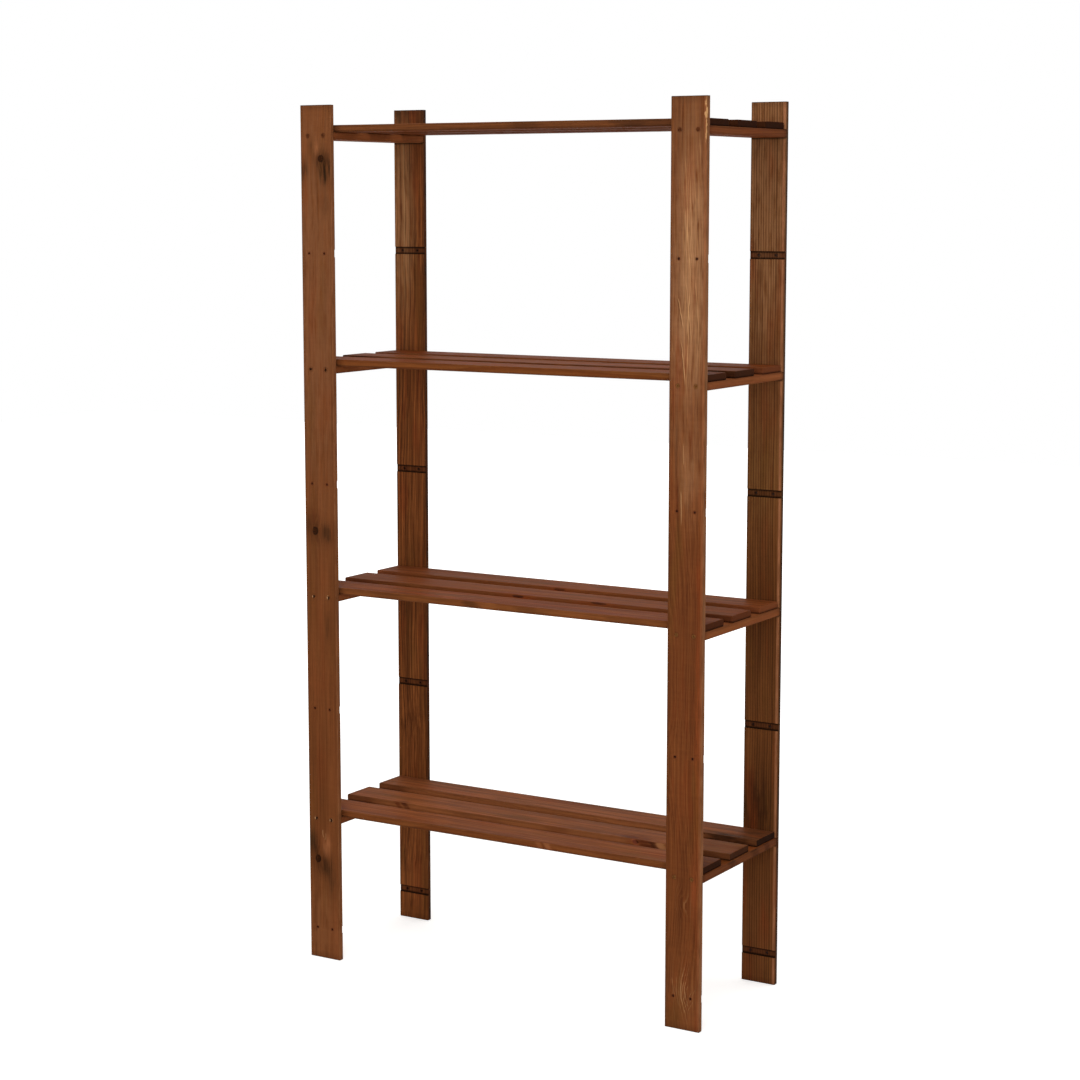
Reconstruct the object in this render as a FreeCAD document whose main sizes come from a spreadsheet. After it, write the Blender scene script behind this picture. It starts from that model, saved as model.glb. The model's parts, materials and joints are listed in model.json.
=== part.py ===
import FreeCAD, Part
import os
import Sketcher

# Slatted shelving unit of stained pine: grooved upright boards, end battens, slats and screws.
# Frame: origin on the floor under the middle of the unit, X to the right, Y to the back, Z up.

# Driving sizes in millimetres, and the number of shelves.
SIZES = {
    # the whole unit
    "unit_height": "1650",
    "unit_width": "860",
    "unit_depth": "320",
    "shelf_count": "4",
    # upright boards, and the housings across their inner faces
    "post_width": "70",
    "post_thick": "12",
    "post_round": "2.2",
    "end_ease": "0.6",
    "lowest_level": "60",
    "top_margin": "57",
    "housing_depth": "3",
    "housing_clear": "0.4",
    # battens under the shelf ends
    "batten_relief": "0.5",
    "batten_thick": "14",
    "batten_round": "1.5",
    # slats
    "slat_thick": "13",
    "slat_gap": "34.5",
    "slat_setback": "1",
    "slat_inset": "3",
    "slat_round": "2",
    # screws through the posts into the batten ends
    "post_screw_shank": "4",
    "post_screw_head": "7.6",
    "post_screw_bite": "30",
    "post_screw_spacing": "35",
    # screws up through the battens into the slats
    "slat_screw_shank": "3.5",
    "slat_screw_head": "6.8",
    "slat_screw_bite": "8",
    "slat_screw_edge": "17.5",
    # shared by all screws
    "bore_clear": "0.1",
    "head_sink": "0.3",
    "head_rim": "0.3",
    "point_length": "5",
    "recess_width": "1",
    "recess_depth": "1.3",
}

# Places worked out from the sizes.
LEVEL_PITCH = "(Sizes.unit_height - Sizes.lowest_level - Sizes.top_margin) / (2 * Sizes.shelf_count - 1)"
HOUSING_HEIGHT = "(Sizes.batten_thick + Sizes.housing_clear)"
HOUSING_FLOOR = "(Sizes.post_thick - Sizes.housing_depth)"
POST_CENTRE = "(Sizes.unit_width - Sizes.post_width) / 2"
BATTEN_WIDTH = "(Sizes.post_width - 2 * Sizes.batten_relief)"
BATTEN_LENGTH = f"(Sizes.unit_depth - 2 * {HOUSING_FLOOR})"
SLAT_LENGTH = "(Sizes.unit_width - 2 * Sizes.slat_inset)"
SLATS_DEPTH = "(Sizes.unit_depth - 2 * Sizes.post_thick - 2 * Sizes.slat_setback)"
SLAT_WIDTH = f"(({SLATS_DEPTH} - 2 * Sizes.slat_gap) / 3)"
SLAT_PITCH = f"({SLAT_WIDTH} + Sizes.slat_gap)"
SLAT_SCREW_OFFSET = f"({SLAT_WIDTH} / 2 - Sizes.slat_screw_edge)"
POST_SCREW_BORE = "Sizes.post_screw_shank + 2 * Sizes.bore_clear"
POST_SCREW_LENGTH = f"({HOUSING_FLOOR} + Sizes.post_screw_bite - Sizes.head_sink)"
SLAT_SCREW_BORE = "Sizes.slat_screw_shank + 2 * Sizes.bore_clear"
SLAT_SCREW_LENGTH = "(Sizes.batten_thick + Sizes.slat_screw_bite - Sizes.head_sink)"

COUNTERSINK_ANGLE = 90
TOLERANCE = 1e-6
LEFT, RIGHT = -1, 1
SLAT_PLACES = {"front": -1, "middle": 0, "rear": 1}

doc = FreeCAD.newDocument("SlattedShelving")
sheet = doc.addObject("Spreadsheet::Sheet", "Sizes")
for row, (alias, value) in enumerate(SIZES.items(), start=1):
    sheet.set(f"A{row}", alias)
    sheet.set(f"B{row}", value)
    sheet.setAlias(f"B{row}", alias)
doc.recompute()
shelf_numbers = range(1, int(sheet.shelf_count) + 1)


def shelf_level(number):
    """Height of the housings that carry a shelf: every second level, from the second one up."""
    return f"(Sizes.lowest_level + {2 * number - 1} * {LEVEL_PITCH})"


def batten_base(number):
    """Height of a batten's underside, which rests on the lower walls of its housings."""
    return f"({shelf_level(number)} - {HOUSING_HEIGHT} / 2)"


def origin_feature(body, role):
    return next(feature for feature in body.Origin.OriginFeatures if feature.Role == role)


def sketch_on(body, name, plane, **shift):
    """Sketch on one of the body's own planes, moved within and off that plane by formulas."""
    sketch = body.newObject("Sketcher::SketchObject", name)
    sketch.AttachmentSupport = [(origin_feature(body, plane), "")]
    sketch.MapMode = "FlatFace"
    for axis, formula in shift.items():
        sketch.setExpression(f"AttachmentOffset.Base.{axis}", formula)
    return sketch


def set_distance(sketch, direction, geometry, point, formula):
    """Signed distance of a point from the sketch's origin."""
    index = sketch.addConstraint(Sketcher.Constraint(direction, -1, 1, geometry, point, 1.0))
    sketch.setExpression(f"Constraints[{index}]", formula)


def draw_outline(sketch, points):
    """Closed outline of straight lines through points given as formulas."""
    count = len(points)
    for side in range(count):
        start = FreeCAD.Vector(side, side**2, 0)
        sketch.addGeometry(Part.LineSegment(start, start + FreeCAD.Vector(1, 1, 0)))
    for side, (across, up) in enumerate(points):
        sketch.addConstraint(Sketcher.Constraint("Coincident", side, 2, (side + 1) % count, 1))
        set_distance(sketch, "DistanceX", side, 1, across)
        set_distance(sketch, "DistanceY", side, 1, up)


def draw_rectangle(sketch, width, height):
    """Rectangle about the sketch's origin."""
    signs = ((-1, -1), (1, -1), (1, 1), (-1, 1))
    draw_outline(sketch, [(f"{x} * {width} / 2", f"{y} * {height} / 2") for x, y in signs])


def draw_circles(sketch, diameter, centres):
    """Circles of one diameter about centres given as formulas."""
    for across, up in centres:
        circle = sketch.addGeometry(Part.Circle(FreeCAD.Vector(1, 1, 0), FreeCAD.Vector(0, 0, 1), 1.0))
        index = sketch.addConstraint(Sketcher.Constraint("Diameter", circle, 1.0))
        sketch.setExpression(f"Constraints[{index}]", diameter)
        set_distance(sketch, "DistanceX", circle, 3, across)
        set_distance(sketch, "DistanceY", circle, 3, up)


def add_board(body, sketch, length, centred):
    board = body.newObject("PartDesign::Pad", "Board")
    board.Profile = sketch
    board.SideType = "Symmetric" if centred else "One side"
    board.setExpression("Length", length)
    doc.recompute()
    return board


def round_edges(body, base, radius, axis=None):
    """Rounds a board's edges: all of them, or those that run along one axis."""
    fillet = body.newObject("PartDesign::Fillet", "RoundedEdges")
    names = []
    for number, edge in enumerate(base.Shape.Edges, start=1):
        run = edge.tangentAt(edge.FirstParameter)
        if axis is None or abs(run.dot(axis)) > 1 - TOLERANCE:
            names.append(f"Edge{number}")
    fillet.Base = (base, names)
    fillet.setExpression("Radius", radius)
    doc.recompute()
    return fillet


def ease_ends(body, base):
    """Small chamfer round the sawn top and bottom of an upright board."""
    chamfer = body.newObject("PartDesign::Chamfer", "EasedEnds")
    box = base.Shape.BoundBox
    names = []
    for number, edge in enumerate(base.Shape.Edges, start=1):
        heights = [vertex.Z for vertex in edge.Vertexes]
        if max(heights) - box.ZMin < TOLERANCE or box.ZMax - min(heights) < TOLERANCE:
            names.append(f"Edge{number}")
    chamfer.Base = (base, names)
    chamfer.setExpression("Size", "Sizes.end_ease")
    doc.recompute()


def check_cut(body, before, name):
    """A cut that points away from the board removes nothing, so its volume is compared."""
    doc.recompute()
    if before - body.Shape.Volume < TOLERANCE:
        raise RuntimeError(f"{body.Label}: {name} cuts nothing")


def cut_pocket(body, sketch, name, depth, reverse=False):
    before = body.Shape.Volume
    pocket = body.newObject("PartDesign::Pocket", name)
    pocket.Profile = sketch
    pocket.Reversed = reverse
    pocket.setExpression("Length", depth)
    check_cut(body, before, name)
    return pocket


def drill_holes(body, sketch, name, bore, head=None, reverse=False):
    """Holes right through a board, with a conical seat where a screw head sits."""
    doc.recompute()
    before = body.Shape.Volume
    hole = body.newObject("PartDesign::Hole", name)
    hole.Profile = sketch
    hole.Reversed = reverse
    hole.DepthType = "ThroughAll"
    hole.DrillPoint = "Flat"
    hole.setExpression("Diameter", bore)
    if head:
        seat = f"{head} + 2 * (Sizes.head_sink + Sizes.head_rim + Sizes.bore_clear)"
        hole.HoleCutType = "Countersink"
        hole.HoleCutCustomValues = True
        hole.HoleCutCountersinkAngle = COUNTERSINK_ANGLE
        hole.setExpression("HoleCutDiameter", seat)
    check_cut(body, before, name)
    return hole


def repeat_along(body, feature, axis, spacing, count):
    pattern = body.newObject("PartDesign::LinearPattern", f"{feature.Name}Row")
    pattern.Originals = [feature]
    pattern.Direction = (origin_feature(body, axis), [""])
    pattern.Mode = "Spacing"
    pattern.setExpression("Offset", spacing)
    pattern.setExpression("Occurrences", count)
    body.Tip = pattern
    doc.recompute()


def place(part, x, y, z, turn=FreeCAD.Rotation()):
    part.Placement = FreeCAD.Placement(FreeCAD.Vector(), turn)
    for axis, formula in zip("xyz", (x, y, z)):
        part.setExpression(f"Placement.Base.{axis}", formula)


def make_post(label, side, front):
    """Upright board: plain outer face on the body's XZ plane, housings across the inner face."""
    body = doc.addObject("PartDesign::Body", label)
    section = sketch_on(body, "Section", "XY_Plane", y="Sizes.post_thick / 2")
    draw_rectangle(section, "Sizes.post_width", "Sizes.post_thick")
    board = add_board(body, section, "Sizes.unit_height", centred=False)
    rounded = round_edges(body, board, "Sizes.post_round", FreeCAD.Vector(0, 0, 1))
    ease_ends(body, rounded)

    groove = sketch_on(body, "HousingOutline", "XZ_Plane", y="Sizes.lowest_level", z=f"-{HOUSING_FLOOR}")
    draw_rectangle(groove, "Sizes.post_width", HOUSING_HEIGHT)
    housing = cut_pocket(body, groove, "Housing", "Sizes.housing_depth")
    repeat_along(body, housing, "Z_Axis", LEVEL_PITCH, "2 * Sizes.shelf_count")

    pair = [(f"{x} * Sizes.post_screw_spacing / 2", "0") for x in (LEFT, RIGHT)]
    for name, level, head in (
        ("SpareHoles", "Sizes.lowest_level", None),
        ("ScrewHoles", shelf_level(1), "Sizes.post_screw_head"),
    ):
        centres = sketch_on(body, f"{name}Centres", "XZ_Plane", y=level)
        draw_circles(centres, POST_SCREW_BORE, pair)
        holes = drill_holes(body, centres, name, POST_SCREW_BORE, head)
        repeat_along(body, holes, "Z_Axis", f"2 * {LEVEL_PITCH}", "Sizes.shelf_count")

    turn = FreeCAD.Rotation(FreeCAD.Vector(0, 0, 1), 0 if front else 180)
    face = "-Sizes.unit_depth / 2" if front else "Sizes.unit_depth / 2"
    place(body, f"{side} * {POST_CENTRE}", face, "0", turn)
    return body


def make_batten(label, side, number):
    """Flat board under a shelf's end, with bores in both ends and seats for the slat screws below."""
    body = doc.addObject("PartDesign::Body", label)
    section = sketch_on(body, "Section", "XZ_Plane", y="Sizes.batten_thick / 2")
    draw_rectangle(section, BATTEN_WIDTH, "Sizes.batten_thick")
    board = add_board(body, section, BATTEN_LENGTH, centred=True)
    round_edges(body, board, "Sizes.batten_round", FreeCAD.Vector(0, 1, 0))

    middle, face = f"{HOUSING_HEIGHT} / 2", f"{BATTEN_LENGTH} / 2"
    ends = sketch_on(body, "EndBoreCentres", "XZ_Plane", y=middle, z=face)
    pair = [(f"{x} * Sizes.post_screw_spacing / 2", "0") for x in (LEFT, RIGHT)]
    draw_circles(ends, POST_SCREW_BORE, pair)
    bores = cut_pocket(body, ends, "EndBores", "Sizes.post_screw_bite + Sizes.bore_clear")
    mirrored = body.newObject("PartDesign::Mirrored", "FarEndBores")
    mirrored.Originals = [bores]
    mirrored.MirrorPlane = (origin_feature(body, "XZ_Plane"), [""])
    body.Tip = mirrored
    doc.recompute()

    below = sketch_on(body, "SlatScrewCentres", "XY_Plane", y=f"-{SLAT_PITCH}")
    draw_circles(below, SLAT_SCREW_BORE, [("0", f"{y} * {SLAT_SCREW_OFFSET}") for y in (-1, 1)])
    head = "Sizes.slat_screw_head"
    holes = drill_holes(body, below, "SlatScrewHoles", SLAT_SCREW_BORE, head, reverse=True)
    repeat_along(body, holes, "Y_Axis", SLAT_PITCH, str(len(SLAT_PLACES)))

    place(body, f"{side} * {POST_CENTRE}", "0", batten_base(number))
    return body


def make_slat(label, row, number):
    """Shelf slat with rounded edges and blind bores for the screws that hold it from below."""
    body = doc.addObject("PartDesign::Body", label)
    section = sketch_on(body, "Section", "YZ_Plane", y="Sizes.slat_thick / 2")
    draw_rectangle(section, SLAT_WIDTH, "Sizes.slat_thick")
    board = add_board(body, section, SLAT_LENGTH, centred=True)
    round_edges(body, board, "Sizes.slat_round")

    below = sketch_on(body, "ScrewBoreCentres", "XY_Plane")
    spots = [(f"{x} * {POST_CENTRE}", f"{y} * {SLAT_SCREW_OFFSET}") for x in (LEFT, RIGHT) for y in (-1, 1)]
    draw_circles(below, SLAT_SCREW_BORE, spots)
    cut_pocket(body, below, "ScrewBores", "Sizes.slat_screw_bite + Sizes.bore_clear", reverse=True)

    place(body, "0", f"{row} * {SLAT_PITCH}", f"{batten_base(number)} + Sizes.batten_thick")
    return body


def make_screw(label, shank, head, length):
    """Countersunk screw about the Z axis: flat head at the origin, point towards +Z, crossed recess."""
    body = doc.addObject("PartDesign::Body", label)
    profile = sketch_on(body, "Profile", "XZ_Plane")
    neck = f"Sizes.head_rim + ({head} - {shank}) / 2"
    points = [
        ("0", "0"),
        (f"{head} / 2", "0"),
        (f"{head} / 2", "Sizes.head_rim"),
        (f"{shank} / 2", neck),
        (f"{shank} / 2", f"{length} - Sizes.point_length"),
        ("0", length),
    ]
    draw_outline(profile, points)
    turned = body.newObject("PartDesign::Revolution", "Turned")
    turned.Profile = profile
    turned.ReferenceAxis = (profile, ["V_Axis"])
    doc.recompute()
    for name, width, height in (
        ("RecessAcross", shank, "Sizes.recess_width"),
        ("RecessUp", "Sizes.recess_width", shank),
    ):
        slot = sketch_on(body, f"{name}Outline", "XY_Plane")
        draw_rectangle(slot, width, height)
        cut_pocket(body, slot, name, "Sizes.recess_depth", reverse=True)
    return body


def make_group(label, screw, places):
    """One node of separate screws, all copies of one screw."""
    copies = []
    for number, (x, y, z, turn) in enumerate(places, start=1):
        copy = doc.addObject("App::Link", f"{label}_{number}")
        copy.LinkedObject = screw
        place(copy, x, y, z, turn)
        copies.append(copy)
    group = doc.addObject("Part::Compound", label)
    group.Links = copies
    return group


def post_screw_places(number):
    places = []
    for y, angle in ((-1, -90), (1, 90)):
        face = f"{y} * (Sizes.unit_depth / 2 - Sizes.head_sink)"
        turn = FreeCAD.Rotation(FreeCAD.Vector(1, 0, 0), angle)
        for side in (LEFT, RIGHT):
            for x in (LEFT, RIGHT):
                across = f"{side} * {POST_CENTRE} + {x} * Sizes.post_screw_spacing / 2"
                places.append((across, face, shelf_level(number), turn))
    return places


def slat_screw_places(number):
    places = []
    height = f"{batten_base(number)} + Sizes.head_sink"
    for side in (LEFT, RIGHT):
        for row in SLAT_PLACES.values():
            for y in (-1, 1):
                along = f"{row} * {SLAT_PITCH} + {y} * {SLAT_SCREW_OFFSET}"
                places.append((f"{side} * {POST_CENTRE}", along, height, FreeCAD.Rotation()))
    return places


parts = []
for end, front in (("front", True), ("rear", False)):
    for hand, side in (("left", LEFT), ("right", RIGHT)):
        parts.append(make_post(f"post_{end}_{hand}", side, front))

post_screw = make_screw("post_screw", "Sizes.post_screw_shank", "Sizes.post_screw_head", POST_SCREW_LENGTH)
slat_screw = make_screw("slat_screw", "Sizes.slat_screw_shank", "Sizes.slat_screw_head", SLAT_SCREW_LENGTH)
for number in shelf_numbers:
    for hand, side in (("left", LEFT), ("right", RIGHT)):
        parts.append(make_batten(f"shelf_{number}_batten_{hand}", side, number))
    for name, row in SLAT_PLACES.items():
        parts.append(make_slat(f"shelf_{number}_slat_{name}", row, number))
    parts.append(make_group(f"shelf_{number}_post_screws", post_screw, post_screw_places(number)))
    parts.append(make_group(f"shelf_{number}_slat_screws", slat_screw, slat_screw_places(number)))
doc.recompute()

for item in doc.Objects:
    if "Invalid" in item.State or "Error" in item.State:
        raise RuntimeError(f"{item.Label} failed: {item.State}")
for part in parts:
    if part.Shape.isNull() or not part.Shape.isValid():
        raise RuntimeError(f"{part.Label} has no valid shape")

os.makedirs("parts", exist_ok=True)
for part in parts:
    part.Shape.exportStep(f"parts/{part.Label}.step")
    print(part.Label, len(part.Shape.Solids), "solid", round(part.Shape.Volume / 1000, 1), "cm3")
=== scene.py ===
import json
import math

import bpy
import numpy as np
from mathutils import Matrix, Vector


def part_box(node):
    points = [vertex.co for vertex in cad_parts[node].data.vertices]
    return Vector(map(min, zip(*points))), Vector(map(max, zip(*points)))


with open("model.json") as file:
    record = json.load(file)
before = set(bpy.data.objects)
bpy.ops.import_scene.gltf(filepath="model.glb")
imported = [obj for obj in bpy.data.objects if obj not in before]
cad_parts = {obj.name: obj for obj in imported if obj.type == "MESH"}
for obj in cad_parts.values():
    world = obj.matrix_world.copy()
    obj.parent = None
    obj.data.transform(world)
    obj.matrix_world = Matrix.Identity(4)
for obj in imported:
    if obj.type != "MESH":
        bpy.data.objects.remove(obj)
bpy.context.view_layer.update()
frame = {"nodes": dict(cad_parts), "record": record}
nodes = frame["nodes"]
print("frame:", len(nodes), "boards and screw sets")


class Wire:
    # wraps one output socket, so that a sum, a product or 1 - mask adds a Math node to its tree
    def __init__(self, tree, socket=None):
        self.tree = tree
        self.socket = socket

    def make(self, kind, settings=None, sockets=None, out=0):
        # any other node: its settings first, then a value or a wire for each socket named
        node = self.tree.nodes.new(kind)
        for name, value in (settings or {}).items():
            setattr(node, name, value)
        for key, value in (sockets or {}).items():
            if isinstance(value, Wire):
                self.tree.links.new(value.socket, node.inputs[key])
            else:
                node.inputs[key].default_value = value
        return Wire(self.tree, node.outputs[out]) if len(node.outputs) else node

    def other(self, out):
        # another output of the same node
        return Wire(self.tree, self.socket.node.outputs[out])

    def math(self, operation, *values):
        return self.make("ShaderNodeMath", {"operation": operation}, dict(enumerate(values)))

    def __add__(self, value):
        return self.math("ADD", self, value)

    def __radd__(self, value):
        return self.math("ADD", value, self)

    def __sub__(self, value):
        return self.math("SUBTRACT", self, value)

    def __rsub__(self, value):
        return self.math("SUBTRACT", value, self)

    def __mul__(self, value):
        return self.math("MULTIPLY", self, value)

    def __rmul__(self, value):
        return self.math("MULTIPLY", value, self)

    def __truediv__(self, value):
        return self.math("DIVIDE", self, value)

    def __rtruediv__(self, value):
        return self.math("DIVIDE", value, self)

    def __abs__(self):
        return self.math("ABSOLUTE", self)

    def root(self):
        return self.math("SQRT", self)

    def exp(self):
        return self.math("EXPONENT", self)

    def fract(self):
        return self.math("FRACT", self)

    def floor(self):
        return self.math("FLOOR", self)

    def least(self, value):
        return self.math("MINIMUM", self, value)

    def most(self, value):
        return self.math("MAXIMUM", self, value)

    def held(self):
        # kept between 0 and 1
        return self.least(1.0).most(0.0)

    def wrap(self, low, high):
        return self.math("WRAP", self, high, low)

    def step(self, low, high):
        # 0 at low, 1 at high and a smooth curve between them, also where low is the larger
        ends = {"Value": self, "From Min": low, "From Max": high}
        return self.make("ShaderNodeMapRange", {"interpolation_type": "SMOOTHSTEP"}, ends)


def linear(shade):
    # a screen colour of 0 to 255 as linear light: the sRGB curve, a power of 2.4 above a short straight foot
    part = np.asarray(shade, float) / 255
    light = np.where(part > 0.04045, ((part + 0.055) / 1.055) ** 2.4, part / 12.92)
    return (*map(float, light), 1.0)


def mixed(share, first, second):
    # the first colour where share is 0 and the second where it is 1
    ends = {0: share, 6: first, 7: second}      # sockets 6 and 7 are its two colours
    return share.make("ShaderNodeMix", {"data_type": "RGBA"}, ends, out=2)


def dimmed(colour, level):
    # a colour times a level
    return colour.make("ShaderNodeVectorMath", {"operation": "SCALE"}, {0: colour, "Scale": level})


def noiseAt(spot, length, shift, detail=2.0, out=0):
    # noise at a spot in millimetres, drawn out to these lengths along, across and through the board
    scale = {0: spot, 1: [1 / part for part in length], 2: shift}
    drawn = spot.make("ShaderNodeVectorMath", {"operation": "MULTIPLY_ADD"}, scale)
    ends = {"Vector": drawn, "Scale": 1.0, "Detail": detail, "Roughness": 0.55}
    return spot.make("ShaderNodeTexNoise", None, ends, out=out)


def threeNoises(spot, length, shift, detail=2.0):
    # the three channels of a noise's colour, each centred on 0
    colour = noiseAt(spot, length, shift, detail, out=1)
    split = spot.make("ShaderNodeSeparateColor", None, {0: colour})
    return [split.other(channel) - 0.5 for channel in range(3)]


def bell(far, near):
    # a soft oval: 1 in its middle and falling with the square of the distance
    return (far * far * -1.0 - near * near).exp()


def newMaterial(name):
    # a material without nodes, and the wire that they start from
    material = bpy.data.materials.new(name)
    material.use_nodes = True
    material.node_tree.nodes.clear()
    return material, Wire(material.node_tree)


def surface(start, colour, rough, height, others):
    # one surface: its colour, roughness and height in millimetres, and other sockets by their names
    bump = start.make("ShaderNodeBump", None, {"Height": height, "Strength": 1.0, "Distance": 0.001})
    sockets = {"Base Color": colour, "Roughness": rough, "Normal": bump, **others}
    shader = start.make("ShaderNodeBsdfPrincipled", None, sockets)
    start.make("ShaderNodeOutputMaterial", None, {"Surface": shader})


# stain and timber, and the dark tones that also paint shade, as screen colours of 0 to 255
stain = {
    "dark": (86, 44, 18),
    "light": (122, 68, 33),
    "red": (120, 50, 20),
    "olive": (92, 59, 23),
    "lateTone": (142, 88, 46),
    "seamTone": (52, 26, 9),
    "fleck": (190, 142, 96),
    "knot": (48, 20, 2),
    # also the colour of painted shade in housings, under battens and where slats rest on battens
    "rim": (18, 8, 2),
    "edge": (101, 55, 26),
    # also the colour of painted shade on slats' edges near their ends and low down
    "end": (40, 20, 11),
    "housing": (62, 30, 17),
    "bore": (84, 38, 17),
    "worn": (150, 92, 52),
    "bare": (196, 150, 100),
}

# the log a board was cut from and how its stain took, in millimetres from the board's centre
plainLog = {
    "pith": (12.0, 34.0),       # the log's heart, across and through
    "lean": (0.006, 0.012),     # how far the heart moves for each millimetre along
    "sway": 16.0,               # how far it wanders from that line
    "waver": 7.0,               # how far the rings are from round
    "ring": 3.4,                # a year's growth, how much it varies and how much a line wavers
    "uneven": 3.0,
    "stir": 0.6,
    "late": 0.35,               # how much the late wood's own tone shows
    "seam": 0.25,               # how dark the line between two years is
    "streak": 1.4,              # long streaks, fine hairs and clouds in the stain
    "hair": 1.0,
    "cloud": 0.8,
    "wear": 0.15,               # stain rubbed off the arrises
    "soak": 0.25,               # stain gathered beside them
    "edgeShare": 0.0,           # the narrow faces' own colour, and the painted shade of the gaps on them near a slat's ends
    "endGapShade": 0.7,
    "seatRing": 0.45,           # a dark ring round the screw heads, and bare wood broken out there
    "chipped": 0.0,
    "drift": 0.45,              # how much red and olive drifts through the stain
    "gloss": 0.03,
    "ripple": 0.12,             # planing marks across the grain
    "calm": (0.0, 1.0, 1.0),    # below the first height the grain has this share of its strength
    "knots": (),                # along, across, radius, length over width
    "edgeKnots": (),            # along, through, radius, length over width, side across
    "patches": (),              # along, across, half length, half width, share, colour
    "flecks": (),               # along, across, half length, half width, strength
    "veins": (),                # from, to, across there, slope, curve, half width, strength
    "swirls": (),               # along, across, size, length over width of a bend in the grain
    "sides": (),                # side across, share, depth where it begins, colour of that narrow face
    "strips": (),               # side across, side through, width, share, colour along that arris
    "chips": (),                # along, half length, side across, side through
    "smears": (),               # along, half length, side across, share, colour on that narrow face
}

# which of x, y, z runs along, across and through each kind of board, and its rounding
boardKinds = {
    "post": {"order": (2, 0, 1), "round": 2.2},
    "slat": {"order": (0, 1, 2), "round": 2.0},
    "batten": {"order": (1, 0, 2), "round": 1.5},
}

# lengths of the noises along, across and through a board, in millimetres
noiseLengths = {
    "cloud": (190, 30, 30),
    "fine": (60, 3, 3),
    "rub": (45, 9, 9),
    "fibre": (70, 0.8, 0.8),
    "sway": (380, 150, 150),
    "streak": (480, 8, 8),
    "hair": (230, 2.6, 2.6),
    "ripple": (6, 40, 40),
    "splits": (13, 5, 5),
}

# uneven covers of stain, wear and painted shade: a level, and how much each noise stirs it
covers = {
    "patch": {"level": 1.0, "rub": 3.2, "hair": 2.0},
    "halo": {"level": 0.7, "rub": 2.4},
    "heart": {"level": 0.95, "fine": 2.0},
    "arris": {"level": 0.5, "rub": 2.2},
    "side": {"level": 1.0, "rub": 2.4, "hair": 1.0},
    "smear": {"level": 0.9, "rub": 1.6, "fine": 1.0},
    "strip": {"level": 0.8, "rub": 1.6},
    "chip": {"level": 0.8, "fine": 2.6},
    "foot": {"level": 0.5, "rub": 2.0},
    "ring": {"level": 0.6, "rub": 3.0},
    "torn": {"level": 0.0, "rub": 2.4, "fine": 0.8},
}

# where red and olive set in as their clouds grow, and how much the fibres dim the stain
stainShape = {"redFrom": (0.0, 0.25), "oliveFrom": (0.02, 0.25), "fibre": 0.6}

# a year's growth from 0 to 1: where each tone rises and falls in it
yearShape = {
    "late": ((0.30, 0.84), (0.98, 0.90)),
    "seam": ((0.86, 0.95), (1.00, 0.97)),
    "line": ((0.66, 0.84), (0.97, 0.90)),
    "paleYears": (0.3, 0.7),    # which years have pale lines
    "contrast": 0.6,            # how much one year differs from the next
    "slow": 0.08,               # how fast the growth varies from the heart outwards
}

# a knot in radii from its axis, and the bend that it gives the rings
knotShape = {
    "slant": 0.2,               # how far the axis moves across for each millimetre through
    "taper": 0.25,              # how fast a knot in an edge narrows inwards
    "ragged": 0.8,              # how far its outline is from an oval
    "uneven": 0.5,
    "halo": 0.09,               # how fast the dusky halo falls off, and its share
    "haloShare": 0.6,
    "heart": (1.2, 0.85),       # where the dark heart fades in
    "rim": 0.92,                # where the rim is, how it fades and its share
    "rimFade": (0.34, 0.02),
    "rimShare": 0.6,
    "crackTurn": 1.7,           # cracks round the axis, how far they reach and their share
    "crack": (0.56, 0.62),
    "crackReach": (0.9, 0.5),
    "crackShare": 0.9,
    "bend": 1.3,                # how far the rings are pushed, and how fast that falls off along and across
    "bendFall": (0.32, 0.5),
}

# a pale thread: how it wanders, thins out at its ends and breaks up, and the dark line beside it
veinShape = {"wander": 4.0, "thin": 0.2, "breaks": 2.0, "level": 0.8, "shadeAside": 2.0, "shadeShare": 0.6}

# how stain and wear lie at corners, narrow faces and ends, in millimetres in from the face
edgeShape = {
    "crest": 0.6,               # where an arris begins inside its rounding
    "soaked": (-2.4, 1.0),      # dark stain beside the crest, and wood rubbed bare on it
    "rubbed": (0.2, 1.6),
    "rubbedFrom": (0.1, 1.0),   # how much cover the rubbing needs
    "face": 0.2,                # where a narrow face is whole
    "side": (1.6, 0.4),         # where its own tone fades in, across and from its depth on
    "sideFade": 1.5,
    "sideMost": 1.4,
    "smearLean": 0.7,           # how far a smear leans along for each millimetre through
    "smearWaver": (1.2, 0.8),
    "strip": (0.3, 1.2),        # where a pale line stops short of its arris, and of the wide face
    "stripFront": (2.4, 1.2),
    "stripSoft": 0.5,           # the part of its width in which it fades
    "chip": (5.0, 4.0),         # how far a chip reaches in, across and through, and how torn it is
    "chipTorn": (8.0, 14.0),
    "chipWhole": 0.7,           # the part of its length where it is whole
    "chipRed": (0.6, 3.6),      # where its red border and its bare wood begin, and the red's share
    "chipBare": (1.6, 3.8),
    "chipRedShare": 0.4,
    "end": (1.3, 0.5),          # where end grain begins, and how far its stain creeps along
    "endShare": 0.9,
    "endCreep": 16.0,
    "endCreepShare": 0.25,
}

# where a slat rests on its battens, in millimetres
slatSeat = {
    "inset": 70.0,              # how far from the slat's end its painted shade fades, and how softly
    "soft": 20.0,
    "foot": (5.0, 0.8),         # stain and painted shade near the slat's underside along it, and painted shadow at the seats
    "footStainAndShadeShare": 0.5,
    "seatShadowShare": 0.7,
}

# roughness and the height of fibres, in millimetres
woodTouch = {
    "rough": 0.52,
    "cloudRough": 0.25,
    "lateRough": 0.08,
    "endRough": 0.2,
    "lateHeight": 0.05,
    "fibreHeight": 0.12,
    "fineHeight": 0.04,
}


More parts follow.
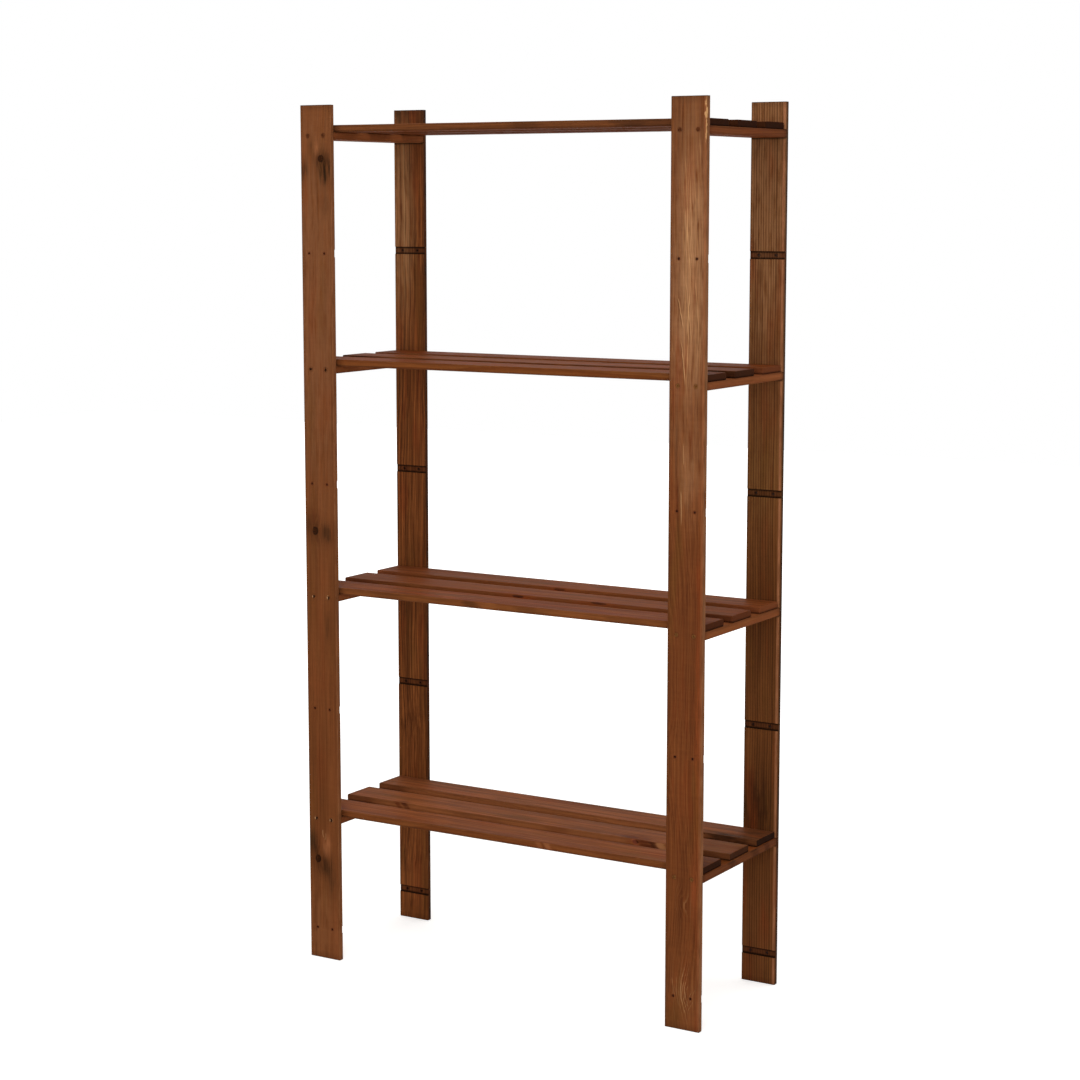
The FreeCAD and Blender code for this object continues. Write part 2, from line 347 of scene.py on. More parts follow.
class Board:
    # one board's material in the making: where a point lies on it, its seeded noises and its look
    def __init__(self, node, kind, look, seed):
        self.material, self.start = newMaterial(node + "_pine")
        self.look = {**plainLog, **stain, **look}
        self.seed = float(seed)
        self.round = boardKinds[kind]["round"]
        shifts = np.random.default_rng(seed).uniform(-50, 50, (len(noiseLengths), 3))
        self.shifts = dict(zip(noiseLengths, shifts.tolist()))
        self.place(node, list(boardKinds[kind]["order"]))
        self.cloud = self.noises("cloud")
        self.fine = self.noise("fine", self.spot)
        self.rub = self.noise("rub", self.spot)
        self.bendGrain()

    def place(self, node, order):
        # object coordinates in millimetres from the board's centre: along its grain, across and through it
        low, high = (np.array(corner) * 1000 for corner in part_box(node))
        place = self.start.make("ShaderNodeTexCoord", out="Object")
        scale = {0: place, 1: (1000, 1000, 1000), 2: list(-(low + high) / 2)}
        local = place.make("ShaderNodeVectorMath", {"operation": "MULTIPLY_ADD"}, scale)
        split = local.make("ShaderNodeSeparateXYZ", None, {0: local})
        axes = [split.other(axis) for axis in order]
        self.along, self.across, self.through = axes
        self.spot = local.make("ShaderNodeCombineXYZ", None, dict(enumerate(axes)))
        self.halfLong, self.halfWide, self.halfDeep = ((high - low)[order] / 2).tolist()

    def noise(self, name, spot, detail=2.0):
        # the noise of that name at a spot, centred on 0
        return noiseAt(spot, noiseLengths[name], self.shifts[name], detail) - 0.5

    def noises(self, name):
        # the three channels of the noise of that name
        return threeNoises(self.spot, noiseLengths[name], self.shifts[name])

    def noiseOver(self, value):
        # noise along one value, with the board's own place in it
        ends = {"W": value + self.seed, "Scale": 1.0}
        return self.start.make("ShaderNodeTexNoise", {"noise_dimensions": "1D"}, ends)

    def patchy(self, name, more=0.0):
        # the uneven cover of that name: its level, and more where given, plus each noise times its weight
        weights = dict(covers[name])
        cover = weights.pop("level") + more
        for noise, weight in weights.items():
            cover = getattr(self, noise) * weight + cover
        return cover

    def oval(self, along, across, long, wide):
        # a soft oval on the wide faces, of these half sizes
        return bell((self.along - along) / long, (self.across - across) / wide)

    def narrowFace(self, outward):
        # 1 on a narrow face and 0 on the wide ones, by the distance outward across the board
        return outward.step(self.halfWide - self.round, self.halfWide - edgeShape["face"])

    def tint(self, share, shade):
        # lays a colour, or the look's colour of that name, over what is there
        shade = shade if isinstance(shade, tuple) else self.look[shade]
        self.colour = mixed(share, self.colour, linear(shade))

    def bendGrain(self):
        # the heart leans and sways along the log: the spot less that shift, so streaks bend as the rings do
        look = self.look
        self.sway = self.noises("sway")
        side = self.across - self.along * look["lean"][0] - self.sway[0] * look["sway"]
        deep = self.through - self.along * look["lean"][1] - self.sway[1] * look["sway"]
        self.grain = self.start.make("ShaderNodeCombineXYZ", None, {0: self.along, 1: side, 2: deep})
        self.fromHeart = (side - look["pith"][0], deep - look["pith"][1])
        self.fibre = self.noise("fibre", self.grain)
        self.hair = self.noise("hair", self.grain)
        low, high, share = look["calm"]
        self.lively = self.along.step(low, high) * (1 - share) + share

    def findKnots(self):
        # a knot's distance in radii from its axis, which runs through the board or in from one edge,
        # with the bell-shaped push that it gives the rings and the dusky halo round it
        self.knots = []
        self.push = None
        spots = [(along, size, stretch, self.across - across + self.through * knotShape["slant"], None)
                 for along, across, size, stretch in self.look["knots"]]
        for along, through, size, stretch, side in self.look["edgeKnots"]:
            inward = self.halfWide - self.across * side
            spots.append((along, size, stretch, self.through - through, inward))
        for along, size, stretch, aside, inward in spots:
            far = (self.along - along) / (size * stretch)
            wide = aside / size
            square = far * far + wide * wide
            if inward:
                square = square + inward * inward * (knotShape["taper"] / size ** 2)
            outline = self.fine * knotShape["ragged"] + 1.0
            distance = square.root() * outline + self.rub * knotShape["uneven"]
            turn = far.math("ARCTAN2", wide, far)
            halo = (square * -knotShape["halo"]).exp()
            self.knots.append((distance, turn, halo, "red" if inward else "knot"))
            self.bulge(far, wide, size)
        for along, across, size, stretch in self.look["swirls"]:
            self.bulge((self.along - along) / (size * stretch), (self.across - across) / size, size)

    def bulge(self, far, wide, size):
        # how far the rings are pushed aside: a bell over the distances along and across, in radii
        fallFar, fallWide = knotShape["bendFall"]
        push = bell(far * fallFar, wide * fallWide) * (size * knotShape["bend"])
        self.push = push if self.push is None else self.push + push

    def growRings(self):
        # rings: the distance from the heart plus the knots' push, counted in years
        look = self.look
        side, deep = self.fromHeart
        radius = (side * side + deep * deep).root() + self.sway[2] * look["waver"]
        if self.push:
            radius = radius + self.push
        uneven = self.noiseOver(radius * yearShape["slow"])
        count = radius / look["ring"] + uneven * look["uneven"] + self.fine * look["stir"]
        self.phase = count.fract()
        year = {"W": count.floor() + self.seed}
        self.year = self.start.make("ShaderNodeTexWhiteNoise", {"noise_dimensions": "1D"}, year)
        contrast = yearShape["contrast"]
        self.late = self.yearPart("late") * (self.year * contrast + (1 - contrast))
        self.seam = self.yearPart("seam") * (1.0 - self.year * contrast)

    def yearPart(self, name):
        # a part of each year's growth: a smooth rise times a smooth fall
        rise, fall = yearShape[name]
        return self.phase.step(*rise) * self.phase.step(*fall)

    def layStain(self):
        # dark to light in long streaks and clouds, with red and olive drifts, and the late wood's own tone
        look = self.look
        streak = self.noise("streak", self.grain, detail=3.0)
        grain = (streak * look["streak"] + self.hair * look["hair"]) * self.lively
        tone = grain + self.cloud[0] * look["cloud"] + 0.5
        self.colour = mixed(tone.step(0.0, 1.0), linear(look["dark"]), linear(look["light"]))
        for along, across, long, wide, share, shade in look["patches"]:
            cover = self.oval(along, across, long, wide) * self.patchy("patch")
            self.tint(cover.held() * share, shade)
        self.tint(self.cloud[1].step(*stainShape["redFrom"]) * look["drift"], "red")
        self.tint(self.cloud[2].step(*stainShape["oliveFrom"]) * look["drift"], "olive")
        if look["edgeShare"]:
            self.tint(self.narrowFace(abs(self.across)) * look["edgeShare"], "edge")
        self.tint(self.late * self.lively * look["late"], "lateTone")
        self.tint(self.seam * self.lively * look["seam"], "seamTone")
        ripple = self.noise("ripple", self.spot, detail=1.0) * look["ripple"]
        self.colour = dimmed(self.colour, self.fibre * stainShape["fibre"] + ripple + 1.0)

    def layFlecks(self):
        # thin pale lines of late wood inside an oval
        line = self.yearPart("line") * self.year.step(*yearShape["paleYears"])
        for along, across, long, wide, strength in self.look["flecks"]:
            self.tint(self.oval(along, across, long, wide) * line * strength, "fleck")

    def layVeins(self):
        # a pale thread along a bent line, across = place + slope u + curve u squared with u from 0 to 1 along
        # it, and a dark line beside it
        thin = veinShape["thin"]
        for start, stop, place, slope, curve, wide, strength in self.look["veins"]:
            part = (self.along - start) / (stop - start)
            line = (part * curve + slope) * part
            off = (self.across - line - place + self.rub * veinShape["wander"]) / wide
            beside = off + veinShape["shadeAside"]
            ends = part.step(0.0, thin) * part.step(1.0, 1 - thin)
            shade = ends * (strength * veinShape["shadeShare"])
            thread = ends * (self.fine * veinShape["breaks"] + veinShape["level"]) * strength
            self.tint((beside * beside * -1.0).exp() * shade, "seamTone")
            self.tint((off * off * -1.0).exp() * thread, "fleck")

    def layKnots(self):
        # a dusky halo, a dark heart with a darker rim, and cracks that run out from the middle
        for distance, turn, halo, tone in self.knots:
            self.tint((halo * self.patchy("halo")).held() * knotShape["haloShare"], tone)
            self.tint(distance.step(*knotShape["heart"]) * self.patchy("heart").held(), "knot")
            rim = abs(distance - knotShape["rim"]).step(*knotShape["rimFade"])
            self.tint(rim * knotShape["rimShare"], "rim")
            crack = self.noiseOver(turn * knotShape["crackTurn"]).step(*knotShape["crack"])
            self.tint(crack * distance.step(*knotShape["crackReach"]) * knotShape["crackShare"], "rim")

    def layArrises(self):
        # the nearer of the two distances to a corner's faces: dark stain beside it, rubbed on its crest
        inside = self.round + edgeShape["crest"]
        crestAcross = abs(self.across) - (self.halfWide - inside)
        crestThrough = abs(self.through) - (self.halfDeep - inside)
        crest = crestAcross.least(crestThrough)
        self.tint(crest.step(*edgeShape["soaked"]) * self.look["soak"], "end")
        worn = self.patchy("arris").step(*edgeShape["rubbedFrom"])
        self.tint(crest.step(*edgeShape["rubbed"]) * worn * self.look["wear"], "worn")

    def laySides(self):
        # a narrow face's own tone, worn in patches, from a depth on
        outer, inner = edgeShape["side"]
        fade = edgeShape["sideFade"]
        for side, share, depth, shade in self.look["sides"]:
            face = (self.across * side).step(self.halfWide - outer, self.halfWide - inner)
            worn = self.patchy("side").least(edgeShape["sideMost"]).most(0.0)
            self.tint(face * self.through.step(depth - fade, depth + fade) * worn * share, shade)

    def laySmears(self):
        # smears on a narrow face: a flat-topped curve along it, the exponent of minus a fourth power
        waverRub, waverFine = edgeShape["smearWaver"]
        for along, long, side, share, shade in self.look["smears"]:
            far = (self.along - along + self.through * edgeShape["smearLean"]) / long
            far = far + self.rub * waverRub + self.fine * waverFine
            reach = (far * far * far * far * -1.0).exp()
            cover = self.patchy("smear").held()
            self.tint(self.narrowFace(self.across * side) * reach * cover * share, shade)

    def layStrips(self):
        # a pale line on the wide face beside an arris
        outer, inner = edgeShape["strip"]
        frontFrom, frontTo = edgeShape["stripFront"]
        for side, sideThrough, wide, share, shade in self.look["strips"]:
            outward = self.across * side
            near = outward.step(self.halfWide - wide, self.halfWide - wide * edgeShape["stripSoft"])
            near = near * outward.step(self.halfWide - outer, self.halfWide - inner)
            front = (self.through * sideThrough).step(self.halfDeep - frontFrom, self.halfDeep - frontTo)
            self.tint(near * front * self.patchy("strip") * self.lively * share, shade)

    def layChips(self):
        # wood broken out along a corner: the nearer of the distances to its faces, torn by two noises
        chipAcross, chipThrough = edgeShape["chip"]
        tornRub, tornSplits = edgeShape["chipTorn"]
        for along, long, sideAcross, sideThrough in self.look["chips"]:
            cornerAcross = self.across * sideAcross - (self.halfWide - chipAcross)
            cornerThrough = self.through * sideThrough - (self.halfDeep - chipThrough)
            reach = abs(self.along - along).step(long, long * edgeShape["chipWhole"])
            splits = self.noise("splits", self.spot)
            chip = cornerAcross.least(cornerThrough) + self.rub * tornRub + splits * tornSplits
            self.tint(chip.step(*edgeShape["chipRed"]) * reach * edgeShape["chipRedShare"], "red")
            self.tint(chip.step(*edgeShape["chipBare"]) * reach * self.patchy("chip"), "bare")

    def layEnds(self):
        # end grain drinks the stain
        endFrom, endTo = edgeShape["end"]
        far = abs(self.along)
        self.ends = far.step(self.halfLong - endFrom, self.halfLong - endTo)
        creep = far.step(self.halfLong - edgeShape["endCreep"], self.halfLong)
        self.tint(creep * edgeShape["endCreepShare"], "end")
        self.tint(self.ends * edgeShape["endShare"], "end")

    def laySeats(self, seat):
        # stain and painted shade low on a slat's edges, painted shade of the gaps on its edges near each end,
        # and a painted shadow low down where it rests on its batten
        footTop, footLow = seat["foot"]
        low = self.through.step(footTop - self.halfDeep, footLow - self.halfDeep)
        face = self.narrowFace(abs(self.across))
        middle = self.halfLong - seat["inset"]
        rests = abs(self.along).step(middle - seat["soft"], middle + seat["soft"])
        # stain and painted shade low on the narrow faces
        self.tint(low * face * self.patchy("foot").held() * seat["footStainAndShadeShare"], "end")
        # painted shade of the shaded gaps on the narrow faces near each end
        self.tint(face * rests * self.look["endGapShade"], "end")
        # a painted shadow low down where the slat rests on its batten
        self.tint(low * rests * seat["seatShadowShare"], "rim")

    def layPostWork(self, work, outerSide):
        # holes by the distance from the nearest screw line, housings by their height and floor, painted shade
        # and pooled stain in their corners, a painted shadow under the battens, and a dark ring and broken
        # stain at the seats of the used levels
        pitch = work["pitch"]
        height = self.along + (self.halfLong - work["lowest"])
        aside = abs(self.across) - work["holeSide"]
        rise = height.wrap(-pitch / 2, pitch / 2)
        usedRise = (height - pitch).wrap(-pitch, pitch)
        hole = (aside * aside + rise * rise).root()
        seat = (aside * aside + usedRise * usedRise).root()
        depth = self.halfDeep - self.through * outerSide
        outerFace = depth.step(*work["seatDepth"])
        innerFace = (self.halfDeep * 2 - depth).step(*work["lipDepth"])
        housing = (abs(rise) - work["housingHalf"]).step(*work["housingWall"])
        housing = housing * (depth - work["housingFloor"]).step(*work["housingBack"])
        self.tint(housing * work["housingShare"], "housing")
        # painted shade and pooled stain in the corners of a housing
        self.tint(housing * abs(rise).step(*work["cornerShadeAndStain"]) * work["cornerShadeAndStainShare"], "rim")
        # a painted shadow on the inner face just under each batten
        under = usedRise * -1.0 - work["housingHalf"]
        battenShadow = under.step(*work["battenShadow"]) * under.step(*work["lipTop"]) * innerFace
        self.tint(battenShadow * work["battenShadowShare"], "rim")
        self.tint((hole - work["hole"]).step(*work["bore"]) * work["boreShare"], "bore")
        ring = abs(seat - work["seat"]).step(*work["ring"]) * outerFace
        self.tint(ring * self.patchy("ring").held() * self.look["seatRing"], "rim")
        broken = (seat - work["seat"]).step(*work["broken"]) * outerFace
        broken = broken * self.along.step(work["brokenBelow"] + 1.0, work["brokenBelow"])
        torn = self.patchy("torn", self.look["chipped"]).step(*work["torn"])
        self.tint(broken * torn * work["brokenShare"], "bare")
        self.ends = self.ends.most(housing)

    def finish(self, touch):
        # late wood and fibres stand up a little, and end grain is matt
        height = self.late * touch["lateHeight"] + self.fibre * touch["fibreHeight"]
        height = height + self.fine * touch["fineHeight"]
        rough = self.cloud[0] * touch["cloudRough"] + self.late * touch["lateRough"]
        rough = rough + self.ends * touch["endRough"] + touch["rough"]
        surface(self.start, self.colour, rough, height, {"Specular IOR Level": self.look["gloss"]})
        return self.material


def pineMaterial(node, kind, look, seed, work=None, outerSide=1.0):
    # stained pine as a solid, so that each face of a board shows the same rings, knots and streaks
    board = Board(node, kind, look, seed)
    board.findKnots()
    board.growRings()
    board.layStain()
    board.layFlecks()
    board.layVeins()
    board.layKnots()
    board.layArrises()
    board.laySides()
    board.laySmears()
    board.layStrips()
    board.layChips()
    board.layEnds()
    if kind == "slat":
        board.laySeats(slatSeat)
    if work:
        board.layPostWork(work, outerSide)
    return board.finish(woodTouch)


# stain and painted shade at the holes, seats and housings of every post: where each fades in, in millimetres,
# and its share
postStain = {
    "housingClear": 0.2,        # room above and below a batten in its housing
    "housingWall": (0.3, 0.0),
    "housingBack": (-0.3, -0.1),
    "housingShare": 0.6,
    "cornerShadeAndStain": (2.2, 6.2),        # painted shade and pooled stain in the corners of a housing, from its middle
    "cornerShadeAndStainShare": 0.85,
    "battenShadow": (4.8, 0.4),          # the painted shadow under a batten, on the inner face
    "lipTop": (-0.4, 0.2),
    "lipDepth": (1.0, 0.4),
    "battenShadowShare": 0.8,
    "bore": (2.4, 0.0),         # round a hole
    "boreShare": 0.75,
    "seat": 4.5,                # a head's seat, how deep its stain goes and the ring round it
    "seatDepth": (2.6, 1.8),
    "ring": (1.6, 0.2),
    "broken": (1.2, -0.2),      # wood broken out there, below a height from the post's middle
    "brokenBelow": 0.0,
    "torn": (0.2, 0.6),
    "brokenShare": 0.7,
}


def measurePosts(look):
    # the record gives the pairs of spare holes, at every second level; a batten's box gives its housing
    spare = [mount for mount in frame["record"]["mounts"] if "spare_holes_front_right" in mount["name"]]
    heights = sorted(mount["pos_m"][2] * 1000 for mount in spare)
    batten, post = (np.array(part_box(node)) * 1000 for node in ("shelf_1_batten_right", "post_front_right"))
    measured = {
        "postSide": spare[0]["pos_m"][0] * 1000,
        "lowest": heights[0],
        "pitch": (heights[1] - heights[0]) / 2,
        "holeSide": spare[0]["dims"]["spacing_x_mm"] / 2,
        "hole": spare[0]["dims"]["hole_r_mm"],
        "housingHalf": float(batten[1, 2] - batten[0, 2]) / 2 + look["housingClear"],
        "housingFloor": float(batten[0, 1] - post[0, 1]),
    }
    return {**look, **measured}


# tones that several marks share
dusk = (40, 24, 10)
glow = (150, 107, 73)
rosy = (156, 96, 60)

# each post's log and its marks, with painted light low on the rear posts; the notes in plainLog say what each
# number is
postLogs = {
    "post_front_left": {
        "pith": (-46.0, 30.0), "lean": (0.008, -0.006), "late": 0.15, "seam": 0.12, "hair": 0.7, "soak": 0.12,
        "dark": (89, 48, 21), "light": (112, 62, 31), "wear": 0.05,
        "sides": ((1.0, 0.6, -20.0, (140, 88, 54)),),
        "drift": 0.2, "seatRing": 0.3, "chipped": 0.25,
        "knots": ((725.7, 10.5, 6.0, 1.0), (20.2, -12.4, 6.2, 1.2), (-626.4, -15.0, 6.0, 1.2)),
        "patches": ((480.0, 0.0, 380.0, 60.0, 0.4, (126, 84, 56)),
                    (-770.0, 0.0, 90.0, 60.0, 0.6, (126, 77, 45)),
                    (704.0, -29.0, 20.0, 9.0, 0.8, dusk), (704.0, 23.0, 26.0, 15.0, 1.0, dusk),
                    (716.0, 14.0, 14.0, 10.0, 0.5, dusk),
                    (746.0, -12.0, 16.0, 5.0, 0.5, dusk), (742.0, 2.0, 12.0, 5.0, 0.5, rosy),
                    (640.0, 20.0, 24.0, 10.0, 0.35, dusk), (48.0, -14.0, 18.0, 10.0, 0.55, (88, 38, 18)),
                    (16.0, 20.0, 18.0, 18.0, 0.7, dusk), (36.0, -28.0, 20.0, 8.0, 0.5, dusk),
                    (-155.0, 14.0, 36.0, 7.0, 0.4, dusk), (-592.0, -26.0, 24.0, 13.0, 0.85, dusk),
                    (-640.0, 4.0, 20.0, 16.0, 0.7, dusk), (-672.0, 20.0, 34.0, 11.0, 0.45, dusk),
                    (-598.0, 6.0, 20.0, 9.0, 0.6, rosy)),
        "veins": ((-566.0, -584.0, -2.0, -4.0, 6.0, 1.2, 0.3), (-572.0, -588.0, 4.0, 2.0, -4.0, 1.2, 0.25)),
    },
    "post_front_right": {
        "pith": (-40.0, 26.0), "lean": (-0.010, 0.004), "sway": 34.0, "ring": 3.2,
        "calm": (-60.0, 240.0, 0.8),
        "late": 0.3, "seam": 0.15, "hair": 1.8, "dark": (82, 41, 18), "light": (113, 61, 29), "wear": 0.15,
        "ripple": 0.2, "sides": ((1.0, 0.6, -20.0, (146, 97, 62)),),
        "strips": ((1.0, -1.0, 6.0, 0.5, rosy),),
        "seatRing": 0.15, "chipped": -0.2,
        "patches": ((540.0, 0.0, 270.0, 60.0, 0.6, (120, 79, 53)), (600.0, 8.0, 130.0, 20.0, 0.8, glow),
                    (795.0, -10.0, 70.0, 40.0, 0.35, (92, 62, 40)),
                    (450.0, 4.0, 110.0, 26.0, 0.75, glow), (165.0, 6.0, 60.0, 18.0, 0.38, glow),
                    (250.0, 0.0, 110.0, 40.0, 0.1, glow), (-800.0, 0.0, 90.0, 60.0, 0.4, (124, 74, 42)),
                    (-110.0, 0.0, 140.0, 60.0, 0.5, (90, 46, 22)),
                    (-300.0, 27.0, 260.0, 5.0, 0.4, (138, 62, 28)),
                    (-570.0, 22.0, 50.0, 7.0, 0.4, (146, 70, 36))),
        "flecks": ((600.0, 6.0, 150.0, 20.0, 0.75), (430.0, 4.0, 90.0, 26.0, 0.75),
                   (-590.0, -2.0, 22.0, 14.0, 0.35), (-755.0, 0.0, 40.0, 28.0, 0.55)),
        "swirls": ((-596.0, 2.0, 5.0, 1.3), (-585.0, -8.0, 4.0, 1.3), (-760.0, 0.0, 7.0, 2.4)),
        "veins": ((484.0, 428.0, -19.0, 12.0, 0.0, 0.8, 0.9), (412.0, 326.0, -13.0, 17.0, -8.0, 0.8, 0.9),
                  (520.0, 400.0, -4.0, 13.0, 0.0, 0.8, 0.45), (520.0, 420.0, 14.0, 9.0, 0.0, 0.8, 0.45),
                  (150.0, 84.0, -9.5, 1.0, 0.0, 1.0, 0.6), (232.0, 190.0, -6.0, 1.0, 0.0, 1.0, 0.4),
                  (700.0, 560.0, 4.0, 2.0, 0.0, 0.8, 0.35), (640.0, 530.0, -6.0, 4.0, 0.0, 0.8, 0.45),
                  (-729.0, -773.0, -21.0, 8.0, 0.0, 0.6, 0.3), (-725.0, -765.0, -11.0, 1.0, 0.0, 0.6, 0.26),
                  (-731.0, -775.0, 5.0, -9.0, 0.0, 0.6, 0.3), (-737.0, -780.0, 14.0, -14.0, 0.0, 0.6, 0.3),
                  (-750.0, -786.0, 21.0, -16.0, 0.0, 0.6, 0.26),
                  (-768.0, -790.0, 24.0, -13.0, 0.0, 0.6, 0.26),
                  (-742.0, -784.0, -15.0, 9.0, 0.0, 0.6, 0.26), (-728.0, -768.0, -2.0, -2.0, 0.0, 0.6, 0.24),
                  (-745.0, -776.0, 27.0, -12.0, 0.0, 0.6, 0.2)),
        "chips": ((785.0, 44.0, 1.0, -1.0),),
    },
    "post_rear_left": {
        "pith": (86.0, 18.0), "lean": (0.012, 0.0), "ring": 6.0, "late": 0.85, "hair": 2.4, "sway": 34.0,
        "dark": (85, 44, 17), "light": (135, 77, 37), "lateTone": (50, 24, 8), "calm": (200.0, 420.0, 0.9),
        "sides": ((1.0, 0.7, -4.0, (46, 25, 14)),), "soak": 0.15,
        "patches": ((620.0, -16.0, 190.0, 24.0, 0.85, (152, 105, 67)),
                    (835.0, 0.0, 50.0, 60.0, 0.8, (46, 31, 20)),
                    (690.0, 22.0, 60.0, 10.0, 0.5, (120, 54, 24)),
                    # the light patch low on this post is painted light, where the lamps leave its foot dimmer
                    (-700.0, 0.0, 160.0, 60.0, 0.7, (138, 78, 39))),
        "flecks": ((620.0, -12.0, 150.0, 16.0, 0.8),), "bore": (36, 16, 8),
    },
    "post_rear_right": {
        "pith": (-94.0, 10.0), "lean": (-0.004, 0.0), "ring": 5.0, "late": 0.75, "sway": 10.0, "waver": 4.0,
        "dark": (87, 49, 22), "light": (116, 69, 34), "lateTone": (52, 29, 13), "wear": 0.1, "hair": 0.9,
        "uneven": 1.0, "stir": 0.25, "calm": (-200.0, 300.0, 1.0), "sides": ((1.0, 0.8, -2.0, (48, 27, 17)),),
        "strips": ((1.0, -1.0, 7.0, 0.85, (160, 104, 70)),), "soak": 0.15, "bore": (36, 16, 8),
        "patches": ((680.0, 0.0, 340.0, 60.0, 0.66, (154, 108, 71)),
                    # the light patch low on this post is painted light, where the lamps leave its foot dimmer
                    (-760.0, 0.0, 160.0, 60.0, 0.4, (116, 69, 37)),
                    (-480.0, -8.0, 66.0, 36.0, 0.72, (44, 22, 11)),
                    (150.0, 0.0, 90.0, 60.0, 0.5, (128, 86, 46))),
    },
}

# what all slats and all battens share
slatLook = {
    "dark": (102, 53, 25), "light": (148, 83, 46), "edgeShare": 0.78, "late": 0.3, "hair": 2.7,
    "streak": 1.8, "gloss": 0.015, "wear": 0.2, "knot": (62, 26, 13), "rim": (36, 17, 9),
}
battenLook = {
    "dark": (112, 58, 28), "light": (152, 88, 50), "edge": (138, 77, 42), "edgeShare": 0.5, "late": 0.3,
    "gloss": 0.012, "strips": ((1.0, -1.0, 4.0, 0.5, (172, 106, 66)),),
}

# what one slat or batten has: a lift of its colour, its edges and ends, knots, patches and smears; some of
# these are painted shade and shadow, as noted beside them
ownLooks = {
    "shelf_1_slat_front": {
        "lift": -7, "edge": (106, 58, 28), "endGapShade": 0.6,
        "smears": ((88.0, 6.0, -1.0, 0.35, (152, 92, 58)), (98.0, 3.0, -1.0, 0.45, (78, 35, 16)),
                   (107.0, 7.0, -1.0, 0.4, (158, 98, 64)), (-140.0, 50.0, -1.0, 0.3, (84, 42, 20)),
                   (260.0, 40.0, -1.0, 0.3, (80, 42, 22))),
        # the dark patch at the right end is a painted shadow of the front right post
        "patches": ((400.0, 0.0, 45.0, 60.0, 0.5, (64, 34, 20)),
                    (60.0, 0.0, 240.0, 60.0, 0.25, (92, 50, 24))),
    },
    "shelf_1_slat_middle": {
        "lift": 6, "edge": (122, 71, 40), "endGapShade": 0.25, "end": (58, 32, 19),
        "edgeKnots": ((231.0, 2.0, 3.4, 1.8, -1.0),),
        "patches": ((226.0, -27.0, 26.0, 14.0, 1.0, (50, 28, 15)),
                    (-294.0, -30.0, 14.0, 7.0, 0.6, (80, 44, 26)),
                    # the dark patch at the right end is a painted shadow of the front right post
                    (390.0, 0.0, 60.0, 60.0, 0.5, (84, 53, 28)),
                    (190.0, 0.0, 130.0, 60.0, 0.3, (100, 66, 48))),
        "smears": ((-303.0, 6.0, -1.0, 0.7, (84, 34, 14)), (-286.0, 7.0, -1.0, 0.9, (66, 26, 11)),
                   (230.0, 5.0, -1.0, 0.4, (150, 76, 54)), (257.0, 19.0, -1.0, 0.85, (74, 31, 15)),
                   (270.0, 7.0, -1.0, 0.5, (42, 20, 9)), (286.0, 9.0, -1.0, 0.8, (158, 106, 68)),
                   (-120.0, 60.0, -1.0, 0.4, (70, 36, 18)), (60.0, 30.0, -1.0, 0.4, (84, 40, 18))),
    },
    "shelf_1_slat_rear": {
        "lift": 7, "edge": (122, 71, 40), "endGapShade": 0.2, "end": (30, 16, 10),
        # the dark patches near the right end are a painted shadow of the front right post
        "patches": ((408.0, 0.0, 34.0, 60.0, 0.75, (54, 32, 21)),
                    (372.0, -33.0, 40.0, 10.0, 1.0, (44, 26, 15)),
                    (330.0, -28.0, 40.0, 11.0, 0.35, dusk)),
        # painted shade on the front edge near the right end
        "smears": ((364.0, 48.0, -1.0, 0.85, (44, 24, 13)),),
    },
    "shelf_1_batten_right": {
        "lift": -14, "edge": (98, 54, 31), "edgeShare": 0.75,
        "smears": ((60.0, 14.0, 1.0, 0.6, (50, 26, 15)), (-30.0, 16.0, 1.0, 0.6, (52, 28, 16)),
                   (110.0, 12.0, 1.0, 0.5, (46, 24, 14))),
    },
    "shelf_2_slat_front": {
        "lift": -16, "edge": (106, 62, 32), "end": (70, 36, 20),
        "smears": ((-60.0, 16.0, -1.0, 0.6, (66, 38, 18)), (-20.0, 20.0, -1.0, 0.5, (134, 79, 41)),
                   (150.0, 40.0, -1.0, 0.4, (134, 77, 39)), (-250.0, 40.0, -1.0, 0.4, (78, 43, 23)),
                   (60.0, 24.0, -1.0, 0.4, (74, 41, 22)), (270.0, 40.0, -1.0, 0.35, (82, 45, 24))),
    },
    # the dark edges of the middle and rear slats here are painted shade in the gaps between slats
    "shelf_2_slat_middle": {
        "lift": -6, "edge": (84, 44, 21), "end": (92, 48, 27),
        "edgeKnots": ((-25.0, 3.0, 2.6, 4.6, -1.0), (150.0, 5.0, 2.0, 8.0, -1.0)),
        "patches": ((-330.0, 0.0, 220.0, 60.0, 0.4, (98, 50, 28)),),
    },
    "shelf_2_slat_rear": {
        "lift": -8, "edge": (90, 46, 21), "end": (118, 64, 36),
        "edgeKnots": ((0.0, 3.0, 2.2, 4.6, -1.0),),
        "patches": ((-330.0, 0.0, 220.0, 60.0, 0.4, (98, 50, 28)),),
    },
    "shelf_3_slat_front": {"lift": -18, "edge": (100, 54, 24), "end": (58, 31, 18)},
    # the dark edges of the middle and rear slats here are painted shade in the gaps between slats
    "shelf_3_slat_middle": {"lift": -13, "edge": (62, 34, 18), "end": (54, 29, 17)},
    "shelf_3_slat_rear": {"lift": -17, "edge": (66, 36, 20), "end": (108, 58, 33)},
    "shelf_4_slat_front": {
        "lift": -18, "edge": (88, 52, 29),
        "smears": ((300.0, 60.0, -1.0, 0.6, (48, 28, 17)), (60.0, 30.0, -1.0, 0.4, (50, 28, 14))),
    },
    # the dark edges of the middle and rear slats here are painted shade in the gaps between slats
    "shelf_4_slat_middle": {"lift": -24, "edge": (70, 38, 18)},
    "shelf_4_slat_rear": {"lift": -24, "edge": (70, 38, 18)},
    "shelf_4_batten_right": {"lift": -18, "edge": (112, 63, 36)},
}

